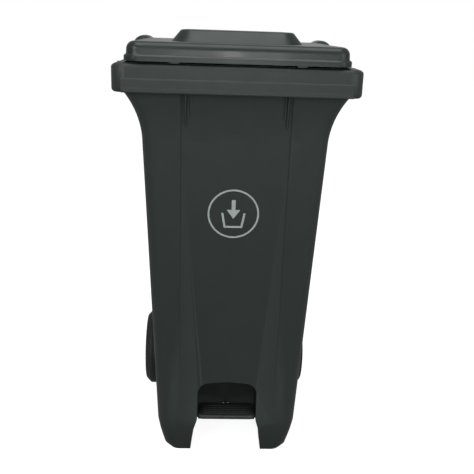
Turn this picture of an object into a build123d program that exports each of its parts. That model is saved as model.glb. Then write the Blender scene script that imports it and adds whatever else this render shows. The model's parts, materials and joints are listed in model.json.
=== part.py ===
from build123d import *
import os
from math import atan2, cos, degrees, hypot, radians, sin, sqrt

# Pedal-operated two-wheel bin. Millimetres, X to the bin's right as seen from the front,
# Y towards the rear, Z up. The origin is on the ground, at the middle of the whole object.

# ---- Tub -----------------------------------------------------------------------------
WALL = 4.0
REAR_Y = 162.0                 # outer face of the rear wall, which is upright
TUB_CORNER = 24.0              # plan radius of the tub's corners
# Height, half width and front wall: rounded feet first, then the long straight taper.
TUB_STATIONS = [
    (0.0, 131.0, -170.0),
    (12.0, 142.5, -173.0),
    (30.0, 147.5, -176.0),
    (51.0, 152.8, -179.0),
    (79.0, 158.0, -182.0),
    (735.0, 185.0, -240.1),
    (828.0, 188.8, -248.4),
]
FLARE_Z = 735.0                # the walls curve outwards from here to the collar
FLARE_RADIUS = 160.0
FRONT_FLARE = 0.25             # the front wall flares by this share of the side walls' flare
FLARE_SECTIONS = 4
SKIRT_Z = 45.0                 # lower edge of the side and rear walls, behind the feet
FLOOR_Z = 118.0                # underside of the tub's floor
PANEL_HALF = 108.0             # the front wall's centre panel is sunk, deepest at the top
PANEL_DEPTH = 2.0
PANEL_Z = 85.0

# ---- Collar --------------------------------------------------------------------------
COLLAR_Z = 829.0
RIM_Z = 884.0
COLLAR_HALF = 240.0
COLLAR_FRONT_Y = -269.3
COLLAR_REAR_Y = 178.0
COLLAR_CORNER = 28.0
COLLAR_SKIRT = 4.5
COLLAR_TOP = 5.0
COLLAR_ROUND_WIDTH = 18.0      # the top edge rolls over by this much sideways
COLLAR_ROUND_HEIGHT = 9.0      # and by this much downwards
COLLAR_UNDER_WIDTH = 7.0       # the lower edge is drawn in less
COLLAR_UNDER_HEIGHT = 7.0
COMB_HALF = 219.0              # two stepped bands across the front of the collar
COMB_PROFILE = [(856.5, 0.0), (853.5, 2.0), (839.5, 2.0), (837.0, 3.2), (831.5, 3.2), (829.5, 1.5)]
RIB_THICKNESS = 3.0
FRONT_RIB_X = 94.0
GUSSET_X = (97.0, 100.0)
GUSSET_Z = 765.0
SIDE_RIBS_Y = (-170.0, -50.0, 70.0)

# ---- Pedal notch between the feet ----------------------------------------------------
NOTCH_REAR_Y = -107.0
NOTCH_SIDE = [(82.0, -1.0), (78.5, 32.0), (75.0, 58.0), (67.5, 84.0), (67.0, 181.0)]
NOTCH_TOP_Z = 187.0
NOTCH_CORNER = 28.0
LEVER_GATE_HALF = 6.5          # slot for the lever in the notch's back wall
LEVER_GATE_Z = 86.5

# ---- Push rod channel in the rear wall -----------------------------------------------
CHANNEL_HALF = 24.0
CHANNEL_FRONT_Y = 128.0
RIM_SLOT_REAR_Y = 172.0

# ---- Lid -----------------------------------------------------------------------------
LID_WALL = 3.5
LID_HALF = 216.5
LID_FRONT_Y = -266.0
LID_REAR_Y = 178.0
LID_CORNER = 28.0
LID_Z = 887.0
LID_BAND_HEIGHT = 12.0
LID_STEP = 3.5
LID_BAND_SLOPE = 3.0           # the band's top edge slopes, so that water runs off
LID_DRAFT = 2.5
LID_TOP_Z = 923.0
LID_ROUND = 15.0
DOME_TOP_Z = 946.0             # raised centre panel
DOME_HALF = 112.0
DOME_FRONT_Y = -172.0
DOME_REAR_Y = 100.0
DOME_CORNER = 26.0
DOME_ROUND = 9.0
DOME_ROOT_Z = 910.0
DOME_SPLAY = 0.85              # sideways spread of the panel's flanks, for each millimetre down
HUMP_X = 211.0
HUMP_RADIUS = 28.0
HUMP_Z = 901.0
HUMP_FRONT_Y = 128.0
STANDOFF_GAP = 0.3

# ---- Lid hinge -----------------------------------------------------------------------
HINGE_Y = 190.0
HINGE_Z = 900.0
HINGE_PIN_RADIUS = 5.0
KNUCKLE_RADIUS = 11.0
KNUCKLE_X = (193.0, 223.0)
EAR_INNER_X = (183.0, 192.7)
EAR_OUTER_X = (223.3, 233.0)
SLIDE_FIT = 0.05               # radial clearance of pins, rods and shafts that turn or slide

# ---- Rear handle ---------------------------------------------------------------------
HANDLE_Y = 232.5
HANDLE_Z = 865.0
HANDLE_RADIUS = 14.0
HANDLE_ARM_X = (146.0, 170.0)

# ---- Wheels --------------------------------------------------------------------------
AXLE_Y = 172.5
AXLE_Z = 100.0
AXLE_RADIUS = 10.0
AXLE_HALF = 206.5
WHEEL_RADIUS = 100.0
TYRE_X = (177.0, 210.0)
TYRE_SEAT_RADIUS = 79.0
TYRE_SHOULDER_RADIUS = 86.0     # from here out the tyre's outer face slopes inwards
TYRE_SLOPE = 13.0
TYRE_ROUND = 6.0
RIM_X = (180.5, 206.5)
RIM_INNER_RADIUS = 71.0
WEB_X = (189.0, 195.0)
HUB_RADIUS = 24.0
HUB_X = (167.6, 202.6)
BUSH_RADIUS = 14.0
SPOKES = 8
OUTER_BOSS_X = (134.0, 164.0)
INNER_BOSS_X = (58.0, 74.0)

# ---- Pedal, lever and push rod -------------------------------------------------------
PIVOT_Y = -19.5
PIVOT_Z = 70.0
PIVOT_RADIUS = 6.0
HANGER_X = (30.0, 38.0)
LEVER_HALF = 4.0
LEVER_HEIGHT = 16.0
LEVER_SLOT = (-2.9, 0.3)        # ends of the rear eye's slot, along the arm
LEVER_ARM = 171.5              # from the pivot to the push rod's line
LEVER_DROP = 29.5              # the rear eye's rest height below the pivot
TREAD_FRONT_Y = -192.0
TREAD_REAR_Y = -130.0
TREAD_HALF = 65.0
TREAD_TOP_Z = 101.0
TREAD_LIP_Z = 92.5             # underside of the front lip and of the deck
TREAD_SKIRT_Z = 84.5
TREAD_SKIRT_FRONT_Y = -178.0
TREAD_SCREW = (26.0, -158.0)
PAD_Z = (86.5, 92.5)
LEVER_TIP = (-150.0, 80.0)     # centre of the front arm's end
ROD_Y = PIVOT_Y + LEVER_ARM
ROD_RADIUS = 5.0
FOOT_PIN_Z = PIVOT_Z - LEVER_DROP
SMALL_PIN_RADIUS = 3.0
LID_SWING = 70.0               # degrees, from shut to fully open
LIFT_ARM = HINGE_Y - ROD_Y     # the push rod's distance in front of the hinge axis
LIFT_RATE = 41.9               # push rod travel per radian of the lid
LIFT_PIN_Z = HINGE_Z - LIFT_RATE * radians(LID_SWING / 2)
GUIDES_Z = {"rod_guide_lower": 230.0, "rod_guide_upper": 700.0}
GUIDE_HALF_HEIGHT = 16.0
GUIDE_SCREW_X = 31.0
SCREW_RADIUS = 2.5
SCREW_HEAD_RADIUS = 5.0

# ---- Badge ---------------------------------------------------------------------------
BADGE_Z = 588.0
BADGE_RADIUS = 52.5
BADGE_LINE = 3.6
BADGE_THICKNESS = 0.5


# ---- Shared shapes -------------------------------------------------------------------

def block(x, y, z):
    """A box between a low and a high x, y and z."""
    size = Box(x[1] - x[0], y[1] - y[0], z[1] - z[0])
    return Pos((x[0] + x[1]) / 2, (y[0] + y[1]) / 2, (z[0] + z[1]) / 2) * size


def bar_x(radius, x, y, z):
    """A round bar along X."""
    return Pos((x[0] + x[1]) / 2, y, z) * Rot(0, 90, 0) * Cylinder(radius, x[1] - x[0])


def bar_y(radius, x, y, z):
    """A round bar along Y."""
    return Pos(x, (y[0] + y[1]) / 2, z) * Rot(90, 0, 0) * Cylinder(radius, y[1] - y[0])


def bar_z(radius, x, y, z):
    """A round bar along Z."""
    return Pos(x, y, (z[0] + z[1]) / 2) * Cylinder(radius, z[1] - z[0])


def ring_x(outer, inner, x, y, z):
    """A round ring about an axis along X."""
    return bar_x(outer, x, y, z) - bar_x(inner, (x[0] - 1, x[1] + 1), y, z)


def plate_x(points, x):
    """A plate with its outline in the YZ plane, between two x positions."""
    outline = Plane.YZ * Polygon(*points, align=None)
    return Pos(x[0], 0, 0) * extrude(outline, x[1] - x[0])


def plate_y(points, y):
    """A plate with its outline in the XZ plane, between two y positions."""
    outline = Plane.XZ * Polygon(*points, align=None)
    return Pos(0, y[1], 0) * extrude(outline, y[1] - y[0])


def rounded(z, half, front, rear, corner):
    """A rounded rectangle at one height."""
    return Pos(0, (front + rear) / 2, z) * RectangleRounded(2 * half, rear - front, corner)


def both_sides(shape):
    """A shape with its mirror image across the bin's middle."""
    return shape + mirror(shape, Plane.YZ)


def span(x, side):
    """An x range, on the right for side 1 or on the left for side -1."""
    return tuple(sorted((x[0] * side, x[1] * side)))


# ---- Tub -----------------------------------------------------------------------------

def tub_size(z):
    """The tub's half width and front wall at one height."""
    for low, high in zip(TUB_STATIONS, TUB_STATIONS[1:]):
        if z <= high[0]:
            break
    share = (z - low[0]) / (high[0] - low[0])
    half = low[1] + share * (high[1] - low[1])
    front = low[2] + share * (high[2] - low[2])
    rise = max(0.0, z - FLARE_Z)
    flare = FLARE_RADIUS - sqrt(FLARE_RADIUS ** 2 - rise ** 2)
    return half + flare, front - FRONT_FLARE * flare


def tub_section(z, inset):
    """The tub's outline at one height, drawn in by the inset."""
    half, front = tub_size(z)
    return rounded(z, half - inset, front + inset, REAR_Y - inset, TUB_CORNER - inset)


def tub_form(inset, top_z):
    """The whole tub as a solid, drawn in by the inset, up to the given height."""
    heights = [inset] + [station[0] for station in TUB_STATIONS[1:-1]]
    lower = loft([tub_section(z, inset) for z in heights], ruled=True)
    collar_z = TUB_STATIONS[-1][0]
    step = (collar_z - FLARE_Z) / FLARE_SECTIONS
    flare = loft([tub_section(FLARE_Z + step * i, inset) for i in range(FLARE_SECTIONS + 1)])
    upper = extrude(tub_section(collar_z, inset), top_z - collar_z)
    return lower + flare + upper


def collar_section(z, inset):
    """The collar's outline, drawn in by the inset."""
    return rounded(z, COLLAR_HALF - inset, COLLAR_FRONT_Y + inset, COLLAR_REAR_Y - inset,
                   COLLAR_CORNER - inset)


def collar_block():
    """The collar's outer shape: an upright band with rolled edges above and below."""
    angles = [0, 22.5, 45, 67.5, 90]
    shoulder_z = RIM_Z - COLLAR_ROUND_HEIGHT
    top = [collar_section(shoulder_z + COLLAR_ROUND_HEIGHT * sin(radians(a)),
                          COLLAR_ROUND_WIDTH * (1 - cos(radians(a)))) for a in angles]
    hem_z = COLLAR_Z + COLLAR_UNDER_HEIGHT
    hem = [collar_section(hem_z - COLLAR_UNDER_HEIGHT * sin(radians(a)),
                          COLLAR_UNDER_WIDTH * (1 - cos(radians(a)))) for a in angles]
    band = extrude(collar_section(hem_z, 0), shoulder_z - hem_z)
    return band + loft(top, ruled=True) + loft(hem, ruled=True)


def collar_hollow():
    """The space under the collar, between its skirt and the tub's wall."""
    height = RIM_Z - COLLAR_TOP - COLLAR_Z + 2
    outer = extrude(collar_section(COLLAR_Z - 2, COLLAR_SKIRT), height)
    inner = extrude(tub_section(TUB_STATIONS[-1][0], 0), RIM_Z - TUB_STATIONS[-1][0])
    lower = extrude(tub_section(TUB_STATIONS[-1][0], 0), -10)
    return outer - inner - lower


def collar_ribs():
    """Gussets that tie the collar's skirt to the tub."""
    half, front = tub_size(784.0)
    skirt_y = COLLAR_FRONT_Y + 2
    shape = [(skirt_y, 840), (front - 10, 829), (front - 1, 784), (front + 8, 784),
             (front + 8, RIM_Z - 2), (skirt_y, RIM_Z - 2)]
    ribs = both_sides(plate_x(shape, (FRONT_RIB_X - RIB_THICKNESS / 2, FRONT_RIB_X + RIB_THICKNESS / 2)))
    skirt_x = COLLAR_HALF - 2
    side = [(skirt_x, 840), (half + 20, 829), (half + 1, 784), (half - 8, 784),
            (half - 8, RIM_Z - 2), (skirt_x, RIM_Z - 2)]
    for y in SIDE_RIBS_Y:
        ribs = ribs + both_sides(plate_y(side, (y - RIB_THICKNESS / 2, y + RIB_THICKNESS / 2)))
    return ribs


def comb_bands():
    """The two shallow steps across the collar's front, each with a sloping top."""
    edge = [(COLLAR_FRONT_Y - proud, z) for z, proud in COMB_PROFILE]
    back = [(COLLAR_FRONT_Y + 3, COMB_PROFILE[-1][0]), (COLLAR_FRONT_Y + 3, COMB_PROFILE[0][0])]
    return plate_x(edge + back, (-COMB_HALF, COMB_HALF))


def shoulder_gussets():
    """Two thin gussets between the front wall and the collar's underside."""
    outline = [(-238, COLLAR_Z + 1), (-262, COLLAR_Z + 1), (-243, GUSSET_Z), (-238, GUSSET_Z)]
    return both_sides(plate_x(outline, GUSSET_X))


def hinge_ears():
    """Two ears at each rear corner that hold the lid's hinge pins."""
    ears = None
    for x in (EAR_INNER_X, EAR_OUTER_X):
        ear = bar_x(KNUCKLE_RADIUS, x, HINGE_Y, HINGE_Z)
        ear = ear + plate_x([(COLLAR_REAR_Y - 30, 846), (COLLAR_REAR_Y, 846), (HINGE_Y + 4, 866),
                             (HINGE_Y + KNUCKLE_RADIUS, HINGE_Z), (HINGE_Y - KNUCKLE_RADIUS, HINGE_Z),
                             (COLLAR_REAR_Y + 1, RIM_Z - 2), (COLLAR_REAR_Y - 30, RIM_Z - 2)], x)
        ears = ear if ears is None else ears + ear
    return both_sides(ears)


def handle():
    """The rear grip bar and its two arms."""
    grip_half = HANDLE_ARM_X[1] - 2
    grip = bar_x(HANDLE_RADIUS, (-grip_half, grip_half), HANDLE_Y, HANDLE_Z)
    arm = plate_x([(COLLAR_REAR_Y - 3, 848), (HANDLE_Y, HANDLE_Z - HANDLE_RADIUS),
                   (HANDLE_Y, HANDLE_Z + HANDLE_RADIUS - 1), (COLLAR_REAR_Y - 3, 880)], HANDLE_ARM_X)
    return grip + both_sides(arm + bar_x(HANDLE_RADIUS, HANDLE_ARM_X, HANDLE_Y, HANDLE_Z))


def axle_bosses():
    """Blocks on the foot of the rear wall that carry the axle."""
    bosses = None
    for x in (OUTER_BOSS_X, INNER_BOSS_X):
        boss = bar_x(AXLE_RADIUS + 9, x, AXLE_Y, AXLE_Z)
        boss = boss + plate_x([(REAR_Y - 35, AXLE_Z - 30), (AXLE_Y, AXLE_Z - 19), (AXLE_Y, AXLE_Z + 19),
                               (REAR_Y - 2, AXLE_Z + 46), (REAR_Y - 35, AXLE_Z + 46)], x)
        bosses = boss if bosses is None else bosses + boss
    return both_sides(bosses)


def notch_outline():
    """The pedal notch, seen from the front."""
    right = NOTCH_SIDE + [(0.0, NOTCH_TOP_Z)]
    left = [(-x, z) for x, z in reversed(NOTCH_SIDE)]
    outline = Polygon(*(right + left), align=None)
    for height, radius in ((58.0, 24.0), (84.0, 24.0), (181.0, NOTCH_CORNER), (NOTCH_TOP_Z, 90.0)):
        corners = [v for v in outline.vertices() if abs(v.Y - height) < 0.01]
        outline = fillet(corners, radius)
    return outline


def notch_form(grow):
    """The pedal notch as a solid, grown by the given amount on every side."""
    outline = notch_outline()
    if grow:
        outline = offset(outline, amount=grow)
    rear = NOTCH_REAR_Y + grow
    return Pos(0, rear, 0) * extrude(Plane.XZ * outline, rear + 320)


def guide_bosses():
    """Pads beside the channel that take the guides' screws."""
    bosses = None
    for z in GUIDES_Z.values():
        boss = block((CHANNEL_HALF + 2, GUIDE_SCREW_X + 6), (REAR_Y - 22, REAR_Y - 1),
                     (z - GUIDE_HALF_HEIGHT, z + GUIDE_HALF_HEIGHT))
        bosses = both_sides(boss) if bosses is None else bosses + both_sides(boss)
    return bosses


def partitions(inner):
    """The tub's floor, the backs of the feet and the walls of the notch and channel."""
    floor = block((-300, 300), (NOTCH_REAR_Y, 200), (FLOOR_Z, FLOOR_Z + WALL))
    feet = block((-300, 300), (NOTCH_REAR_Y, NOTCH_REAR_Y + WALL), (0, FLOOR_Z + WALL))
    channel_x = (-CHANNEL_HALF - WALL, CHANNEL_HALF + WALL)
    channel = block(channel_x, (CHANNEL_FRONT_Y - WALL, 200), (FLOOR_Z, RIM_Z))
    walls = (floor + feet + channel + notch_form(WALL) + guide_bosses()) & inner
    hanger = plate_x([(PIVOT_Y - 14, PIVOT_Z - 6), (PIVOT_Y - 6, PIVOT_Z - 13), (PIVOT_Y + 6, PIVOT_Z - 13),
                      (PIVOT_Y + 14, PIVOT_Z - 6), (PIVOT_Y + 30, FLOOR_Z + 1), (PIVOT_Y - 30, FLOOR_Z + 1)],
                     HANGER_X)
    return walls + both_sides(hanger)


def screw_holes():
    """Holes for the guides' screws."""
    holes = None
    for z in GUIDES_Z.values():
        hole = bar_y(SCREW_RADIUS + SLIDE_FIT, GUIDE_SCREW_X, (REAR_Y - 16, REAR_Y + 10), z)
        holes = both_sides(hole) if holes is None else holes + both_sides(hole)
    return holes


def make_bin_body():
    """The tub with its collar, feet, notch, channel, hinge ears, handle and axle bosses."""
    outer = tub_form(0, RIM_Z)
    panel_edge = [(tub_size(PANEL_Z)[1], PANEL_Z)]
    for z in (FLARE_Z, 752, 768, 783, 798, 813, 828):
        panel_edge.append((tub_size(z)[1] + PANEL_DEPTH, z))
    panel_edge = panel_edge + [(-300, 828), (-300, PANEL_Z)]
    panel = plate_x(panel_edge, (-PANEL_HALF, PANEL_HALF))
    outer = outer - panel
    outer = outer + (collar_block() - collar_hollow()) + collar_ribs() + comb_bands() + shoulder_gussets()
    outer = outer + hinge_ears() + handle() + axle_bosses()
    inner = tub_form(WALL, RIM_Z + 5)
    body = outer - inner + partitions(inner)
    body = body - notch_form(0)
    notch_back = (NOTCH_REAR_Y - 5, NOTCH_REAR_Y + 10)
    body = body - block((-LEVER_GATE_HALF, LEVER_GATE_HALF), notch_back, (-5, LEVER_GATE_Z))
    body = body - block((-NOTCH_SIDE[0][0], NOTCH_SIDE[0][0]), notch_back, (-5, SKIRT_Z))
    body = body - block((-300, 300), (NOTCH_REAR_Y + WALL, 300), (-5, SKIRT_Z))
    channel_x = (-CHANNEL_HALF, CHANNEL_HALF)
    body = body - block(channel_x, (CHANNEL_FRONT_Y, REAR_Y + 30), (-5, COLLAR_Z - 5))
    body = body - block(channel_x, (CHANNEL_FRONT_Y, RIM_SLOT_REAR_Y), (COLLAR_Z - 6, RIM_Z + 5))
    body = body - bar_x(AXLE_RADIUS + SLIDE_FIT, (-300, 300), AXLE_Y, AXLE_Z)
    body = body - bar_x(PIVOT_RADIUS + SLIDE_FIT, (-60, 60), PIVOT_Y, PIVOT_Z)
    body = body - bar_x(HINGE_PIN_RADIUS + SLIDE_FIT, (-300, 300), HINGE_Y, HINGE_Z)
    return body - screw_holes()


# ---- Lid -----------------------------------------------------------------------------

def lid_cover(inset):
    """The lid's main form with its raised centre panel, drawn in by the inset."""
    low = rounded(LID_Z - inset, LID_HALF - LID_STEP - inset, LID_FRONT_Y + LID_STEP + inset,
                  LID_REAR_Y - inset, LID_CORNER - LID_STEP - inset)
    draft = LID_STEP + LID_DRAFT + inset
    high = rounded(LID_TOP_Z - inset, LID_HALF - draft, LID_FRONT_Y + draft,
                   LID_REAR_Y - inset, LID_CORNER - draft)
    cover = loft([low, high], ruled=True)
    cover = fillet(cover.edges().group_by(Axis.Z)[-1], LID_ROUND - inset)
    spread = DOME_SPLAY * (DOME_TOP_Z - DOME_ROOT_Z)
    pull = inset * 0.4
    root = rounded(DOME_ROOT_Z - inset, DOME_HALF + spread - pull, DOME_FRONT_Y - spread + pull,
                   DOME_REAR_Y + spread - pull, DOME_CORNER + spread - pull)
    crown = rounded(DOME_TOP_Z - inset, DOME_HALF - pull, DOME_FRONT_Y + pull,
                    DOME_REAR_Y - pull, DOME_CORNER - pull)
    dome = loft([root, crown], ruled=True)
    dome = fillet(dome.edges().group_by(Axis.Z)[-1], DOME_ROUND)
    return cover + dome


def lid_humps(inset):
    """The rounded hinge housings at the lid's rear corners, drawn in by the inset."""
    radius = HUMP_RADIUS - inset
    hump = bar_y(radius, HUMP_X, (HUMP_FRONT_Y, LID_REAR_Y - inset), HUMP_Z)
    hump = hump + Pos(HUMP_X, HUMP_FRONT_Y, HUMP_Z) * Sphere(radius)
    hump = hump & block((0, 300), (0, 300), (LID_Z - inset, 960))
    return both_sides(hump)


def lid_knuckles():
    """The lid's hinge knuckles, behind its rear wall."""
    knuckle = bar_x(KNUCKLE_RADIUS, KNUCKLE_X, HINGE_Y, HINGE_Z)
    knuckle = knuckle + block(KNUCKLE_X, (LID_REAR_Y - 2, HINGE_Y), (LID_Z + 2, HINGE_Z + KNUCKLE_RADIUS))
    return both_sides(knuckle)


def lid_standoffs():
    """Pads under the lid's edge that meet the rim when the lid is shut."""
    low = RIM_Z + STANDOFF_GAP
    side = block((LID_HALF - 8, LID_HALF - 0.5), (-9, 9), (low, LID_Z + 3))
    front = block((111, 129), (LID_FRONT_Y + 2, LID_FRONT_Y + 12), (low, LID_Z + 3))
    return both_sides(side) + both_sides(front)


def lid_boss():
    """The block under the lid's rear that takes the lift bracket's screws."""
    boss = block((-34, 34), (122, 166), (907, LID_TOP_Z - 1))
    for x in (-22, 22):
        boss = boss - bar_z(SCREW_RADIUS + SLIDE_FIT, x, 142, (900, 917))
    return boss


def make_lid():
    """The lid: a stepped band, the cover, the raised panel, hinge humps and knuckles."""
    band = extrude(rounded(LID_Z, LID_HALF, LID_FRONT_Y, LID_REAR_Y, LID_CORNER), LID_BAND_HEIGHT)
    band = chamfer(band.edges().group_by(Axis.Z)[-1], LID_BAND_SLOPE)
    outer = band + lid_cover(0) + lid_humps(0)
    inner = lid_cover(LID_WALL) + lid_humps(LID_WALL)
    lid = outer - inner
    lid = lid + lid_knuckles() + lid_standoffs() + lid_boss()
    return lid - bar_x(HINGE_PIN_RADIUS + SLIDE_FIT, (-300, 300), HINGE_Y, HINGE_Z)


# ---- Hinge hardware ------------------------------------------------------------------

def make_hinge_pin(side):
    """A headed pin through two ears and a knuckle."""
    shank = bar_x(HINGE_PIN_RADIUS, span((177.5, 233.5), side), HINGE_Y, HINGE_Z)
    return shank + bar_x(9, span((233.1, 236.3), side), HINGE_Y, HINGE_Z)


def make_hinge_cap(side):
    """A push-on cap on the pin's inner end."""
    cap = bar_x(9, span((175, 182.8), side), HINGE_Y, HINGE_Z)
    return cap - bar_x(HINGE_PIN_RADIUS, span((177.5, 190), side), HINGE_Y, HINGE_Z)


# ---- Wheels --------------------------------------------------------------------------

def make_tyre(side):
    """A solid tyre with a sloping outer shoulder, rounded edges and two shallow grooves."""
    inner, outer = TYRE_X
    profile = Polygon((inner, TYRE_SEAT_RADIUS), (outer, TYRE_SEAT_RADIUS), (outer, TYRE_SHOULDER_RADIUS),
                      (outer - TYRE_SLOPE, WHEEL_RADIUS), (inner, WHEEL_RADIUS), align=None)
    profile = fillet([v for v in profile.vertices() if v.Y > TYRE_SEAT_RADIUS + 1], TYRE_ROUND)
    tyre = Pos(0, AXLE_Y, AXLE_Z) * revolve(profile, Axis.X)
    middle = (inner + outer - TYRE_SLOPE) / 2
    for x in (middle - 2.5, middle + 2.5):
        tyre = tyre - ring_x(WHEEL_RADIUS + 1, WHEEL_RADIUS - 2, (x - 0.8, x + 0.8), AXLE_Y, AXLE_Z)
    return tyre if side > 0 else mirror(tyre, about=Plane.YZ)


def make_hub(side):
    """A moulded wheel centre: rim, web, spokes on both faces and a boss."""
    hub = ring_x(TYRE_SEAT_RADIUS, RIM_INNER_RADIUS, span(RIM_X, side), AXLE_Y, AXLE_Z)
    hub = hub + bar_x(RIM_INNER_RADIUS + 1, span(WEB_X, side), AXLE_Y, AXLE_Z)
    hub = hub + bar_x(HUB_RADIUS, span(HUB_X, side), AXLE_Y, AXLE_Z)
    low, high = span((WEB_X[0] - 6, WEB_X[1] + 3), side)
    for i in range(SPOKES):
        spoke = block((low, high), (HUB_RADIUS - 3, RIM_INNER_RADIUS + 1), (-2.5, 2.5))
        hub = hub + Pos(0, AXLE_Y, AXLE_Z) * Rot(360 / SPOKES * i, 0, 0) * spoke
    return hub - bar_x(BUSH_RADIUS, (-300, 300), AXLE_Y, AXLE_Z)


def make_bush(side):
    """The plain bearing between a wheel and the axle."""
    return ring_x(BUSH_RADIUS, AXLE_RADIUS + SLIDE_FIT, span(HUB_X, side), AXLE_Y, AXLE_Z)


def make_washer(side):
    """The steel washer between the axle boss and the wheel."""
    return ring_x(19, AXLE_RADIUS, span((164.3, 167.3), side), AXLE_Y, AXLE_Z)


def make_starlock(side):
    """The push-on ring that keeps a wheel on the axle."""
    ring = ring_x(16, AXLE_RADIUS, span((202.9, 204.4), side), AXLE_Y, AXLE_Z)
    return ring + ring_x(12, AXLE_RADIUS, span((202.9, 205.8), side), AXLE_Y, AXLE_Z)


def make_hub_cap(side):
    """The cap that covers the end of the axle."""
    cap = bar_x(HUB_RADIUS + 3, span((198.2, 210), side), AXLE_Y, AXLE_Z)
    outer_edge = cap.edges().filter_by(GeomType.CIRCLE).sort_by(Axis.X)[-1 if side > 0 else 0]
    cap = fillet(outer_edge, 2.5)
    return cap - bar_x(HUB_RADIUS, span((190, 207.5), side), AXLE_Y, AXLE_Z)


def make_axle():
    """The steel axle."""
    axle = bar_x(AXLE_RADIUS, (-AXLE_HALF, AXLE_HALF), AXLE_Y, AXLE_Z)
    return chamfer(axle.edges().filter_by(GeomType.CIRCLE), 1.2)


# ---- Pedal and lever -----------------------------------------------------------------

def lever_bar(start, end):
    """One straight arm of the lever, round at both ends."""
    length = hypot(end[0] - start[0], end[1] - start[1])
    angle = degrees(atan2(end[1] - start[1], end[0] - start[0]))
    middle = ((start[0] + end[0]) / 2, (start[1] + end[1]) / 2)
    arm = Pos(0, middle[0], middle[1]) * Rot(angle, 0, 0) * Box(2 * LEVER_HALF, length, LEVER_HEIGHT)
    for y, z in (start, end):
        arm = arm + bar_x(LEVER_HEIGHT / 2, (-LEVER_HALF, LEVER_HALF), y, z)
    return arm


def make_pedal_lever():
    """The steel lever: two arms, a pivot sleeve, a pad under the tread and a slotted eye."""
    pivot = (PIVOT_Y, PIVOT_Z)
    eye = (ROD_Y, FOOT_PIN_Z)
    lever = lever_bar(LEVER_TIP, pivot) + lever_bar(pivot, eye)
    lever = lever + bar_x(11.5, (-28, 28), PIVOT_Y, PIVOT_Z)
    lever = lever + block((-40, 40), (-175.5, TREAD_REAR_Y), PAD_Z)
    lever = lever - bar_x(8, (-40, 40), PIVOT_Y, PIVOT_Z)
    angle = -degrees(atan2(LEVER_DROP, LEVER_ARM))
    low, high = LEVER_SLOT
    slot = Pos(0, (low + high) / 2, 0) * Box(20, high - low, 2 * SMALL_PIN_RADIUS + 0.7)
    for y in LEVER_SLOT:
        slot = slot + bar_x(SMALL_PIN_RADIUS + 0.35, (-10, 10), y, 0)
    lever = lever - Pos(0, ROD_Y, FOOT_PIN_Z) * Rot(angle, 0, 0) * slot
    for x in (-TREAD_SCREW[0], TREAD_SCREW[0]):
        lever = lever - bar_z(SCREW_RADIUS + SLIDE_FIT, x, TREAD_SCREW[1], (80, 95))
    return lever


def make_pedal_tread():
    """The moulded tread: a deck with a thin front lip, side skirts and grip ridges on top."""
    outline = Pos(0, (TREAD_FRONT_Y + TREAD_REAR_Y) / 2) * RectangleRounded(
        2 * TREAD_HALF, TREAD_REAR_Y - TREAD_FRONT_Y, 12)
    tread = Pos(0, 0, TREAD_SKIRT_Z) * extrude(outline, TREAD_TOP_Z - TREAD_SKIRT_Z)
    tread = fillet(tread.edges().group_by(Axis.Z)[-1], 4)
    tread = tread - block((-100, 100), (TREAD_FRONT_Y - 5, TREAD_SKIRT_FRONT_Y), (70, TREAD_LIP_Z))
    hollow_x = (-TREAD_HALF + 5, TREAD_HALF - 5)
    hollow_z = (70, TREAD_LIP_Z + SLIDE_FIT)
    tread = tread - block(hollow_x, (TREAD_SKIRT_FRONT_Y + 2, TREAD_REAR_Y + 5), hollow_z)
    ridge_x = (-TREAD_HALF + 12, TREAD_HALF - 12)
    for i in range(5):
        y = TREAD_FRONT_Y + 12 + 8 * i
        ridge = block(ridge_x, (y - 1.25, y + 1.25), (TREAD_TOP_Z - 1, TREAD_TOP_Z + 1.5))
        tread = tread + ridge
    for x in (-TREAD_SCREW[0], TREAD_SCREW[0]):
        tread = tread - bar_z(SCREW_RADIUS + SLIDE_FIT, x, TREAD_SCREW[1], (85, 97.5))
    return tread


def make_pedal_screws():
    """Two screws up through the lever's pad into the tread."""
    x, y = TREAD_SCREW
    head_z = (PAD_Z[0] - 3.5, PAD_Z[0] - SLIDE_FIT)
    return both_sides(bar_z(SCREW_RADIUS, x, y, (head_z[0], 97)) + bar_z(SCREW_HEAD_RADIUS, x, y, head_z))


def make_pivot_rod():
    """The steel rod that the lever turns on."""
    return bar_x(PIVOT_RADIUS, (-46, 46), PIVOT_Y, PIVOT_Z)


def make_pivot_clips():
    """Push-on clips at the ends of the pivot rod."""
    return both_sides(ring_x(10, PIVOT_RADIUS, (38.3, 40.3), PIVOT_Y, PIVOT_Z))


def make_lever_bushes():
    """Flanged bushes in the ends of the lever's sleeve."""
    bush = ring_x(8, PIVOT_RADIUS + SLIDE_FIT, (12, 28), PIVOT_Y, PIVOT_Z)
    return both_sides(bush + ring_x(11.5, PIVOT_RADIUS + SLIDE_FIT, (28, 29.7), PIVOT_Y, PIVOT_Z))


# ---- Push rod ------------------------------------------------------------------------

def make_push_rod():
    """The rod up the rear channel, with a fork at its foot and an eye at its head."""
    rod = bar_z(ROD_RADIUS, 0, ROD_Y, (58, LIFT_PIN_Z - 4))
    fork = block((-9, 9), (ROD_Y - 7, ROD_Y + 7), (FOOT_PIN_Z - 12, FOOT_PIN_Z + 23))
    fork = fork - block((-4.6, 4.6), (0, 300), (0, FOOT_PIN_Z + 15.5))
    eye = bar_x(8, (-4.5, 4.5), ROD_Y, LIFT_PIN_Z)
    rod = rod + fork + eye
    rod = rod - bar_x(SMALL_PIN_RADIUS + SLIDE_FIT, (-20, 20), ROD_Y, FOOT_PIN_Z)
    return rod - bar_x(SMALL_PIN_RADIUS + SLIDE_FIT, (-20, 20), ROD_Y, LIFT_PIN_Z)


def cross_pin(reach, z):
    """A headed pin across the push rod."""
    pin = bar_x(SMALL_PIN_RADIUS, (-reach, reach + 3), ROD_Y, z)
    return pin + bar_x(SMALL_PIN_RADIUS + 2, (-reach - 2.5, -reach), ROD_Y, z)


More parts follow.
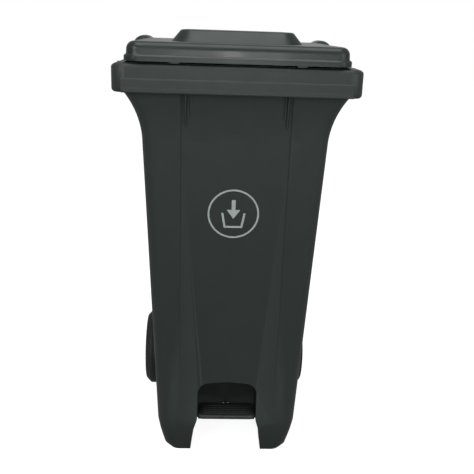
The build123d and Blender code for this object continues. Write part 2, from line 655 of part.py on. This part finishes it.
def cross_clip(reach, z):
    """The clip on the plain end of a cross pin."""
    return ring_x(SMALL_PIN_RADIUS + 2.5, SMALL_PIN_RADIUS, (reach, reach + 1.2), ROD_Y, z)


def make_guide(z):
    """A guide that holds the push rod in its channel."""
    plate = block((-38, 38), (REAR_Y, REAR_Y + 4), (z - GUIDE_HALF_HEIGHT, z + GUIDE_HALF_HEIGHT))
    nose = block((-12, 12), (ROD_Y - 9, REAR_Y + 2), (z - GUIDE_HALF_HEIGHT, z + GUIDE_HALF_HEIGHT))
    guide = plate + nose - bar_z(ROD_RADIUS + SLIDE_FIT, 0, ROD_Y, (z - 30, z + 30))
    for x in (-GUIDE_SCREW_X, GUIDE_SCREW_X):
        guide = guide - bar_y(SCREW_RADIUS + SLIDE_FIT, x, (150, 175), z)
    return guide


def make_guide_screws():
    """The four screws that hold the two guides."""
    screws = None
    for z in GUIDES_Z.values():
        screw = bar_y(SCREW_RADIUS, GUIDE_SCREW_X, (REAR_Y - 15, REAR_Y + 5), z)
        screw = both_sides(screw + bar_y(SCREW_HEAD_RADIUS, GUIDE_SCREW_X, (REAR_Y + 4.05, REAR_Y + 7), z))
        screws = screw if screws is None else screws + screw
    return screws


def make_lift_bracket():
    """The bracket under the lid, with a slot for the push rod's pin."""
    cheek_outline = [(136, 906), (136, 889), (143, 868), (150, 862), (160, 865), (168, 877), (168, 906)]
    cheek = plate_x(cheek_outline, (5.3, 8.3))
    slant = radians(LID_SWING / 2)
    near = LIFT_ARM - 1.2
    far = LIFT_ARM / cos(slant) + 1.2
    slot = None
    for reach in (near, far):
        end = bar_x(SMALL_PIN_RADIUS + 1.3, (0, 20),
                    HINGE_Y - reach * cos(slant), HINGE_Z - reach * sin(slant))
        slot = end if slot is None else slot + end
    middle = (near + far) / 2
    run = Rot(LID_SWING / 2, 0, 0) * Box(40, far - near, 2 * SMALL_PIN_RADIUS + 2.6)
    slot = slot + Pos(0, HINGE_Y - middle * cos(slant), HINGE_Z - middle * sin(slant)) * run
    bracket = both_sides(cheek - slot) + block((-32, 32), (132, 168), (904, 907))
    for x in (-22, 22):
        bracket = bracket - bar_z(SCREW_RADIUS + SLIDE_FIT, x, 142, (900, 910))
    return bracket


def make_lift_bracket_screws():
    """Two screws up through the bracket into the lid."""
    screw = bar_z(SCREW_RADIUS, 22, 142, (903, 916)) + bar_z(SCREW_HEAD_RADIUS, 22, 142, (901, 903.95))
    return both_sides(screw)


# ---- Badge ---------------------------------------------------------------------------

def make_front_badge():
    """A thin round transfer: a ring, a tray and an arrow pointing down into it."""
    ring = Circle(BADGE_RADIUS) - Circle(BADGE_RADIUS - BADGE_LINE)
    tray = Polygon((-25, 2), (-19, -30), (19, -30), (25, 2), (20.5, 2), (15.5, -26), (-15.5, -26),
                   (-20.5, 2), align=None)
    shaft = Pos(0, 19) * Rectangle(8, 22)
    head = Polygon((-14, 9), (0, -10), (14, 9), align=None)
    marks = ring + tray + shaft + head
    low, high = tub_size(PANEL_Z)[1], tub_size(FLARE_Z)[1] + PANEL_DEPTH
    slope = (high - low) / (FLARE_Z - PANEL_Z)
    face_y = low + slope * (BADGE_Z - PANEL_Z)
    wall = Plane(origin=(0, face_y, BADGE_Z), x_dir=(1, 0, 0), z_dir=(0, -1, slope))
    return extrude(wall * marks, BADGE_THICKNESS)


# ---- Every piece, by name ------------------------------------------------------------

def make_parts():
    """All nodes of the bin, by name."""
    parts = {
        "bin_body": make_bin_body(),
        "lid": make_lid(),
        "front_badge": make_front_badge(),
        "axle": make_axle(),
        "pedal_tread": make_pedal_tread(),
        "pedal_lever": make_pedal_lever(),
        "pedal_screws": make_pedal_screws(),
        "lever_pivot_rod": make_pivot_rod(),
        "lever_pivot_clips": make_pivot_clips(),
        "lever_bushes": make_lever_bushes(),
        "push_rod": make_push_rod(),
        "rod_foot_pin": cross_pin(9.3, FOOT_PIN_Z),
        "rod_foot_clip": cross_clip(9.3, FOOT_PIN_Z),
        "lift_pin": cross_pin(9.3, LIFT_PIN_Z),
        "lift_pin_clip": cross_clip(9.3, LIFT_PIN_Z),
        "rod_guide_screws": make_guide_screws(),
        "lift_bracket": make_lift_bracket(),
        "lift_bracket_screws": make_lift_bracket_screws(),
    }
    for name, z in GUIDES_Z.items():
        parts[name] = make_guide(z)
    for hand, side in (("left", -1), ("right", 1)):
        parts[f"hinge_pin_{hand}"] = make_hinge_pin(side)
        parts[f"hinge_pin_cap_{hand}"] = make_hinge_cap(side)
        parts[f"wheel_tyre_{hand}"] = make_tyre(side)
        parts[f"wheel_hub_{hand}"] = make_hub(side)
        parts[f"wheel_bush_{hand}"] = make_bush(side)
        parts[f"axle_washer_{hand}"] = make_washer(side)
        parts[f"starlock_ring_{hand}"] = make_starlock(side)
        parts[f"hub_cap_{hand}"] = make_hub_cap(side)
    return parts


os.makedirs("parts", exist_ok=True)
for node, shape in make_parts().items():
    export_step(shape, f"parts/{node}.step")
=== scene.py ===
import json
import math

import bpy
from mathutils import Matrix, Vector

# A pedal-operated two-wheel bin: looks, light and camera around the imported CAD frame.
# Metres, X to the bin's right, Y to its rear, Z up.

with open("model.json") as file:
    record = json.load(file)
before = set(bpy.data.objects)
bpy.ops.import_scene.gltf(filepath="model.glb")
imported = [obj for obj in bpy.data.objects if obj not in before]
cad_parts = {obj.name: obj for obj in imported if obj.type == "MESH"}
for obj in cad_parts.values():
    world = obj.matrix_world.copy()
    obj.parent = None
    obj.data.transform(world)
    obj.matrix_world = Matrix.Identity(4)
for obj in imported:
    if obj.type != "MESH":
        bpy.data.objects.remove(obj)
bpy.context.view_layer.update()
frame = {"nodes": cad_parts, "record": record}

# ---- Camera --------------------------------------------------------------------------
CAMERA_PLACE = Vector((-0.0525, -1.5909, 0.9507))
CAMERA_YAW = 0.045
CAMERA_TILT = 0.2924
CAMERA_ROLL = 0.0334
SENSOR_MM = 36.0
FOCAL_MM = 52.6

# ---- Colours, as linear light --------------------------------------------------------
BODY_GREY = (0.0170, 0.0222, 0.0208)
LID_GREY = (0.0108, 0.0175, 0.0160)
PEDAL_GREY = (0.0215, 0.0235, 0.0228)
HUB_GREY = (0.014, 0.015, 0.0148)
TYRE_BLACK = (0.010, 0.0105, 0.0105)
NYLON = (0.19, 0.19, 0.18)
PRINT_GREY = (0.30, 0.335, 0.315)
ZINC = (0.55, 0.56, 0.57)
FLOOR_PALE = (0.35, 0.35, 0.35)

# ---- Light ---------------------------------------------------------------------------
FLOOR_GLOW = 0.90
WORLD_BELOW = 0.36             # strength of the surroundings' light from below
WORLD_ABOVE = 0.38             # and from above
WORLD_HEIGHTS = (-0.6, 0.8)    # the directions' heights that these two belong to
# Each lamp's name, place, aim, size in metres and power in watts.
LAMPS = [
    ("overhead", (0.0, -0.6, 3.2), (0, 0, 0.6), 2.0, 42.0),
    ("key", (-1.9, -2.9, 2.0), (0, 0, 0.40), 1.6, 48.0),
    ("fill", (2.4, -2.4, 1.3), (0, 0, 0.50), 1.8, 30.0),
    ("rear", (0.4, 2.8, 2.2), (0, 0, 0.6), 2.0, 6.0),
    ("flash", (0.06, -2.3, 1.12), (0, -0.27, 0.45), 0.12, 9.5),
]

# ---- Edge rounding, in metres --------------------------------------------------------
ROUNDED = {"bin_body": 0.0015, "lid": 0.0015, "pedal_tread": 0.0010}
ROUND_SEGMENTS = 3
ROUND_ANGLE = math.radians(35)
WELD_DISTANCE = 0.00002


# ---- Material building ---------------------------------------------------------------

class Recipe:
    """A node material, built from a few named steps."""

    def __init__(self, name):
        self.material = bpy.data.materials.new(name)
        self.material.use_nodes = True
        self.nodes = self.material.node_tree.nodes
        self.links = self.material.node_tree.links
        self.shader = self.nodes["Principled BSDF"]
        self.place = self.nodes.new("ShaderNodeTexCoord").outputs["Object"]

    def add(self, kind, **values):
        """A node with its properties and input values set."""
        node = self.nodes.new(kind)
        for key, value in values.items():
            if key in node.inputs.keys():
                node.inputs[key].default_value = value
            else:
                setattr(node, key, value)
        return node

    def noise(self, scale, detail=3.0, stretch=(1, 1, 1), roughness=0.5):
        """Noise from 0 to 1 at so many features to the metre, stretched along the axes."""
        mapping = self.add("ShaderNodeMapping")
        mapping.inputs["Scale"].default_value = stretch
        self.links.new(self.place, mapping.inputs["Vector"])
        node = self.add("ShaderNodeTexNoise", Scale=scale, Detail=detail, Roughness=roughness)
        self.links.new(mapping.outputs["Vector"], node.inputs["Vector"])
        return node.outputs["Fac"]

    def remap(self, value, low, high, to_low, to_high):
        """A value moved from one range to another and held inside it."""
        node = self.nodes.new("ShaderNodeMapRange")
        self.links.new(value, node.inputs["Value"])
        for index, number in enumerate((low, high, to_low, to_high), start=1):
            node.inputs[index].default_value = number
        return node.outputs["Result"]

    def math(self, operation, first, second):
        """A sum or product of two values."""
        node = self.nodes.new("ShaderNodeMath")
        node.operation = operation
        for socket, value in zip(node.inputs, (first, second)):
            if isinstance(value, (int, float)):
                socket.default_value = value
            else:
                self.links.new(value, socket)
        return node.outputs["Value"]

    def blend(self, factor, first, second):
        """One colour mixed into another."""
        node = self.nodes.new("ShaderNodeMix")
        node.data_type = "RGBA"
        self.links.new(factor, node.inputs["Factor"])
        for name, value in (("A", first), ("B", second)):
            socket = [s for s in node.inputs if s.name == name and s.type == "RGBA"][0]
            if isinstance(value, tuple):
                socket.default_value = (*value[:3], 1.0)
            else:
                self.links.new(value, socket)
        return [s for s in node.outputs if s.type == "RGBA"][0]

    def bump(self, height, distance, strength=1.0, after=None):
        """A bump of the given height in metres, on top of an earlier one."""
        node = self.nodes.new("ShaderNodeBump")
        node.inputs["Distance"].default_value = distance
        node.inputs["Strength"].default_value = strength
        self.links.new(height, node.inputs["Height"])
        if after is not None:
            self.links.new(after, node.inputs["Normal"])
        return node.outputs["Normal"]

    def edges(self, low, high):
        """Where the surface turns outwards sharply, from 0 to 1."""
        geometry = self.nodes.new("ShaderNodeNewGeometry")
        return self.remap(geometry.outputs["Pointiness"], low, high, 0.0, 1.0)

    def cavity_shade(self, reach):
        """Where walls stand close around a point, from 0 to 1, as a mask for painted shade."""
        node = self.add("ShaderNodeAmbientOcclusion", samples=8)
        node.inputs["Distance"].default_value = reach
        return self.remap(node.outputs["AO"], 0.25, 0.85, 1.0, 0.0)

    def finish(self, colour, roughness, normal):
        """Joins the results to the shader."""
        self.links.new(colour, self.shader.inputs["Base Color"])
        self.links.new(roughness, self.shader.inputs["Roughness"])
        self.links.new(normal, self.shader.inputs["Normal"])
        return self.material


def tint(colour, factor):
    """A colour made lighter or darker."""
    return tuple(channel * factor for channel in colour)


def moulded_plastic(name, colour, gloss, grain=0.00004, wear_and_edge_sheen=1.0, specular=0.35):
    """Moulded polyethylene: colour drift, grain, faint rubs, edges paler from wear and a painted
    highlight, and painted shade in cavities.
    """
    r = Recipe(name)
    drift = r.remap(r.noise(3.5, detail=4), 0.3, 0.7, 0.0, 1.0)
    flow = r.remap(r.noise(9.0, detail=2, stretch=(1.0, 1.0, 0.12)), 0.35, 0.65, 0.0, 1.0)
    base = r.blend(drift, tint(colour, 0.93), tint(colour, 1.06))
    base = r.blend(r.math("MULTIPLY", flow, 0.30), base, tint(colour, 1.12))
    rubs = r.remap(r.noise(38.0, detail=8, stretch=(1.0, 1.0, 5.0), roughness=0.7), 0.60, 0.78, 0.0, 1.0)
    dust = r.remap(r.noise(160.0, detail=6, roughness=0.65), 0.60, 0.80, 0.0, 1.0)
    base = r.blend(r.math("MULTIPLY", rubs, 0.10 * wear_and_edge_sheen), base, tint(colour, 2.6))
    base = r.blend(r.math("MULTIPLY", dust, 0.05 * wear_and_edge_sheen), base, (0.20, 0.19, 0.17))
    # Paler edges: partly wear, partly a painted highlight along the ledges and rims.
    base = r.blend(r.math("MULTIPLY", r.edges(0.53, 0.62), 0.40 * wear_and_edge_sheen), base, tint(colour, 2.6))
    # Painted shade: darker in recesses, under the collar and along ledges, where walls stand close.
    base = r.blend(r.math("MULTIPLY", r.cavity_shade(0.14), 0.85), base, tint(colour, 0.30))
    rough = r.remap(r.noise(24.0, detail=5), 0.3, 0.7, gloss - 0.04, gloss + 0.06)
    rough = r.math("ADD", rough, r.math("MULTIPLY", rubs, 0.12))
    normal = r.bump(r.noise(900.0, detail=3), grain, 0.55)
    normal = r.bump(r.noise(7.0, detail=2), 0.0016, 0.35, after=normal)
    r.shader.inputs["Specular IOR Level"].default_value = specular
    return r.finish(base, rough, normal)


def rubber(name, colour):
    """Solid rubber: dull, with a dusty bloom and a coarse skin."""
    r = Recipe(name)
    bloom = r.remap(r.noise(30.0, detail=7, roughness=0.7), 0.42, 0.75, 0.0, 1.0)
    base = r.blend(r.math("MULTIPLY", bloom, 0.16), tint(colour, 1.0), (0.11, 0.105, 0.095))
    base = r.blend(r.math("MULTIPLY", r.edges(0.53, 0.62), 0.30), base, (0.07, 0.068, 0.064))
    rough = r.remap(bloom, 0.0, 1.0, 0.58, 0.80)
    normal = r.bump(r.noise(420.0, detail=4), 0.00010, 0.8)
    r.shader.inputs["Specular IOR Level"].default_value = 0.30
    return r.finish(base, rough, normal)


def printed_foil(name, colour):
    """A printed mark: even ink with tiny flecks worn away."""
    r = Recipe(name)
    flecks = r.remap(r.noise(520.0, detail=5, roughness=0.7), 0.30, 0.40, 1.0, 0.0)
    drift = r.noise(60.0, detail=3)
    base = r.blend(drift, tint(colour, 0.88), tint(colour, 1.10))
    base = r.blend(r.math("MULTIPLY", flecks, 0.5), base, tint(colour, 0.35))
    rough = r.remap(drift, 0.3, 0.7, 0.42, 0.55)
    normal = r.bump(r.noise(800.0, detail=2), 0.00003, 0.5)
    r.shader.inputs["Specular IOR Level"].default_value = 0.35
    return r.finish(base, rough, normal)


def plated_steel(name, colour, stretch=(1, 1, 1)):
    """Zinc-plated steel with a faint grain and dull patches."""
    r = Recipe(name)
    grain = r.noise(260.0, detail=4, stretch=stretch)
    patches = r.remap(r.noise(45.0, detail=6), 0.40, 0.68, 0.0, 1.0)
    base = r.blend(grain, tint(colour, 0.86), tint(colour, 1.08))
    base = r.blend(r.math("MULTIPLY", patches, 0.35), base, tint(colour, 0.62))
    rough = r.remap(patches, 0.0, 1.0, 0.28, 0.50)
    normal = r.bump(grain, 0.00004, 0.6)
    r.shader.inputs["Metallic"].default_value = 1.0
    return r.finish(base, rough, normal)


def nylon(name, colour):
    """Natural nylon: waxy, a little translucent."""
    r = Recipe(name)
    cloud = r.noise(70.0, detail=4)
    base = r.blend(cloud, tint(colour, 0.90), tint(colour, 1.06))
    rough = r.remap(cloud, 0.3, 0.7, 0.36, 0.48)
    normal = r.bump(r.noise(700.0, detail=2), 0.00003, 0.5)
    r.shader.inputs["Subsurface Weight"].default_value = 0.12
    r.shader.inputs["Subsurface Scale"].default_value = 0.002
    return r.finish(base, rough, normal)


def build_materials():
    """One material for each of the record's slots."""
    return {
        "body_plastic": moulded_plastic("body_plastic", BODY_GREY, 0.46),
        "lid_plastic": moulded_plastic("lid_plastic", LID_GREY, 0.35),
        "pedal_plastic": moulded_plastic("pedal_plastic", PEDAL_GREY, 0.46, wear_and_edge_sheen=1.8),
        "hub_plastic": moulded_plastic("hub_plastic", HUB_GREY, 0.48),
        "hinge_plastic": moulded_plastic("hinge_plastic", HUB_GREY, 0.42, wear_and_edge_sheen=0.6),
        "tyre_rubber": rubber("tyre_rubber", TYRE_BLACK),
        "bush_plastic": nylon("bush_plastic", NYLON),
        "badge_print": printed_foil("badge_print", PRINT_GREY),
        "axle_steel": plated_steel("axle_steel", ZINC, stretch=(0.1, 1.0, 1.0)),
        "plated_steel": plated_steel("plated_steel", ZINC),
    }


# ---- CAD nodes -----------------------------------------------------------------------

def dress_nodes(materials):
    """Gives every CAD node its slot's material, and rounds the moulded pieces' sharp edges."""
    slots = {part["node"]: part["material_slot"] for part in frame["record"]["subparts"]}
    for name, node in frame["nodes"].items():
        node.data.materials.clear()
        node.data.materials.append(materials[slots[name]])
        if name in ROUNDED:
            weld = node.modifiers.new("weld", "WELD")
            weld.merge_threshold = WELD_DISTANCE
            bevel = node.modifiers.new("round", "BEVEL")
            bevel.width = ROUNDED[name]
            bevel.segments = ROUND_SEGMENTS
            bevel.limit_method = "ANGLE"
            bevel.angle_limit = ROUND_ANGLE
            bevel.harden_normals = False


# ---- Surroundings --------------------------------------------------------------------

def add_floor():
    """A plain floor that glows a little, so that it stays white up to the horizon."""
    bpy.ops.mesh.primitive_plane_add(size=24.0, location=(0, 0, 0))
    floor = bpy.context.object
    floor.name = "floor"
    r = Recipe("floor_pale")
    cloud = r.noise(2.0, detail=3)
    base = r.blend(cloud, tint(FLOOR_PALE, 0.98), FLOOR_PALE)
    rough = r.remap(cloud, 0.0, 1.0, 0.80, 0.90)
    normal = r.bump(r.noise(200.0), 0.00005, 0.3)
    r.shader.inputs["Specular IOR Level"].default_value = 0.1
    r.shader.inputs["Emission Color"].default_value = (1, 1, 1, 1)
    r.shader.inputs["Emission Strength"].default_value = FLOOR_GLOW
    floor.data.materials.append(r.finish(base, rough, normal))
    floor.visible_diffuse = False
    floor.visible_glossy = False


def add_world():
    """Even studio surroundings: plain white behind the bin, dimmer as a source of light."""
    world = bpy.data.worlds.new("studio")
    bpy.context.scene.world = world
    world.use_nodes = True
    tree = world.node_tree
    tree.nodes.clear()
    seen = tree.nodes.new("ShaderNodeBackground")
    seen.inputs["Strength"].default_value = 1.0
    seen.inputs["Color"].default_value = (1, 1, 1, 1)
    light = tree.nodes.new("ShaderNodeBackground")
    light.inputs["Color"].default_value = (0.97, 1.0, 0.99, 1)
    direction = tree.nodes.new("ShaderNodeTexCoord")
    height = tree.nodes.new("ShaderNodeSeparateXYZ")
    strength = tree.nodes.new("ShaderNodeMapRange")
    for index, number in enumerate((*WORLD_HEIGHTS, WORLD_BELOW, WORLD_ABOVE), start=1):
        strength.inputs[index].default_value = number
    tree.links.new(direction.outputs["Generated"], height.inputs["Vector"])
    tree.links.new(height.outputs["Z"], strength.inputs["Value"])
    tree.links.new(strength.outputs["Result"], light.inputs["Strength"])
    path = tree.nodes.new("ShaderNodeLightPath")
    mix = tree.nodes.new("ShaderNodeMixShader")
    output = tree.nodes.new("ShaderNodeOutputWorld")
    tree.links.new(path.outputs["Is Camera Ray"], mix.inputs["Fac"])
    tree.links.new(light.outputs[0], mix.inputs[1])
    tree.links.new(seen.outputs[0], mix.inputs[2])
    tree.links.new(mix.outputs[0], output.inputs["Surface"])


def add_softbox(name, place, aim, size, power):
    """A square soft light that faces a point."""
    data = bpy.data.lights.new(name, "AREA")
    data.shape = "SQUARE"
    data.size = size
    data.energy = power
    lamp = bpy.data.objects.new(name, data)
    lamp.location = place
    lamp.rotation_euler = (Vector(aim) - Vector(place)).to_track_quat("-Z", "Y").to_euler()
    bpy.context.scene.collection.objects.link(lamp)


def add_lights():
    """An overhead box, a broad key and fill in front, a rear box and a small lamp by the camera."""
    for name, place, aim, size, power in LAMPS:
        add_softbox(name, place, aim, size, power)


def add_camera():
    """The camera, from its place, yaw, tilt and roll."""
    yaw, tilt, roll = CAMERA_YAW, CAMERA_TILT, CAMERA_ROLL
    ahead = Vector((math.sin(yaw) * math.cos(tilt), math.cos(yaw) * math.cos(tilt), -math.sin(tilt)))
    level = Vector((math.cos(yaw), -math.sin(yaw), 0.0))
    upright = level.cross(ahead)
    right = math.cos(roll) * level + math.sin(roll) * upright
    up = -math.sin(roll) * level + math.cos(roll) * upright
    data = bpy.data.cameras.new("camera")
    data.sensor_width = SENSOR_MM
    data.lens = FOCAL_MM
    camera = bpy.data.objects.new("camera", data)
    turn = Matrix((right, up, -ahead)).transposed().to_4x4()
    camera.matrix_world = Matrix.Translation(CAMERA_PLACE) @ turn
    bpy.context.scene.collection.objects.link(camera)
    bpy.context.scene.camera = camera


add_camera()
add_world()
add_lights()
add_floor()
dress_nodes(build_materials())
bpy.context.scene.view_settings.view_transform = "Standard"
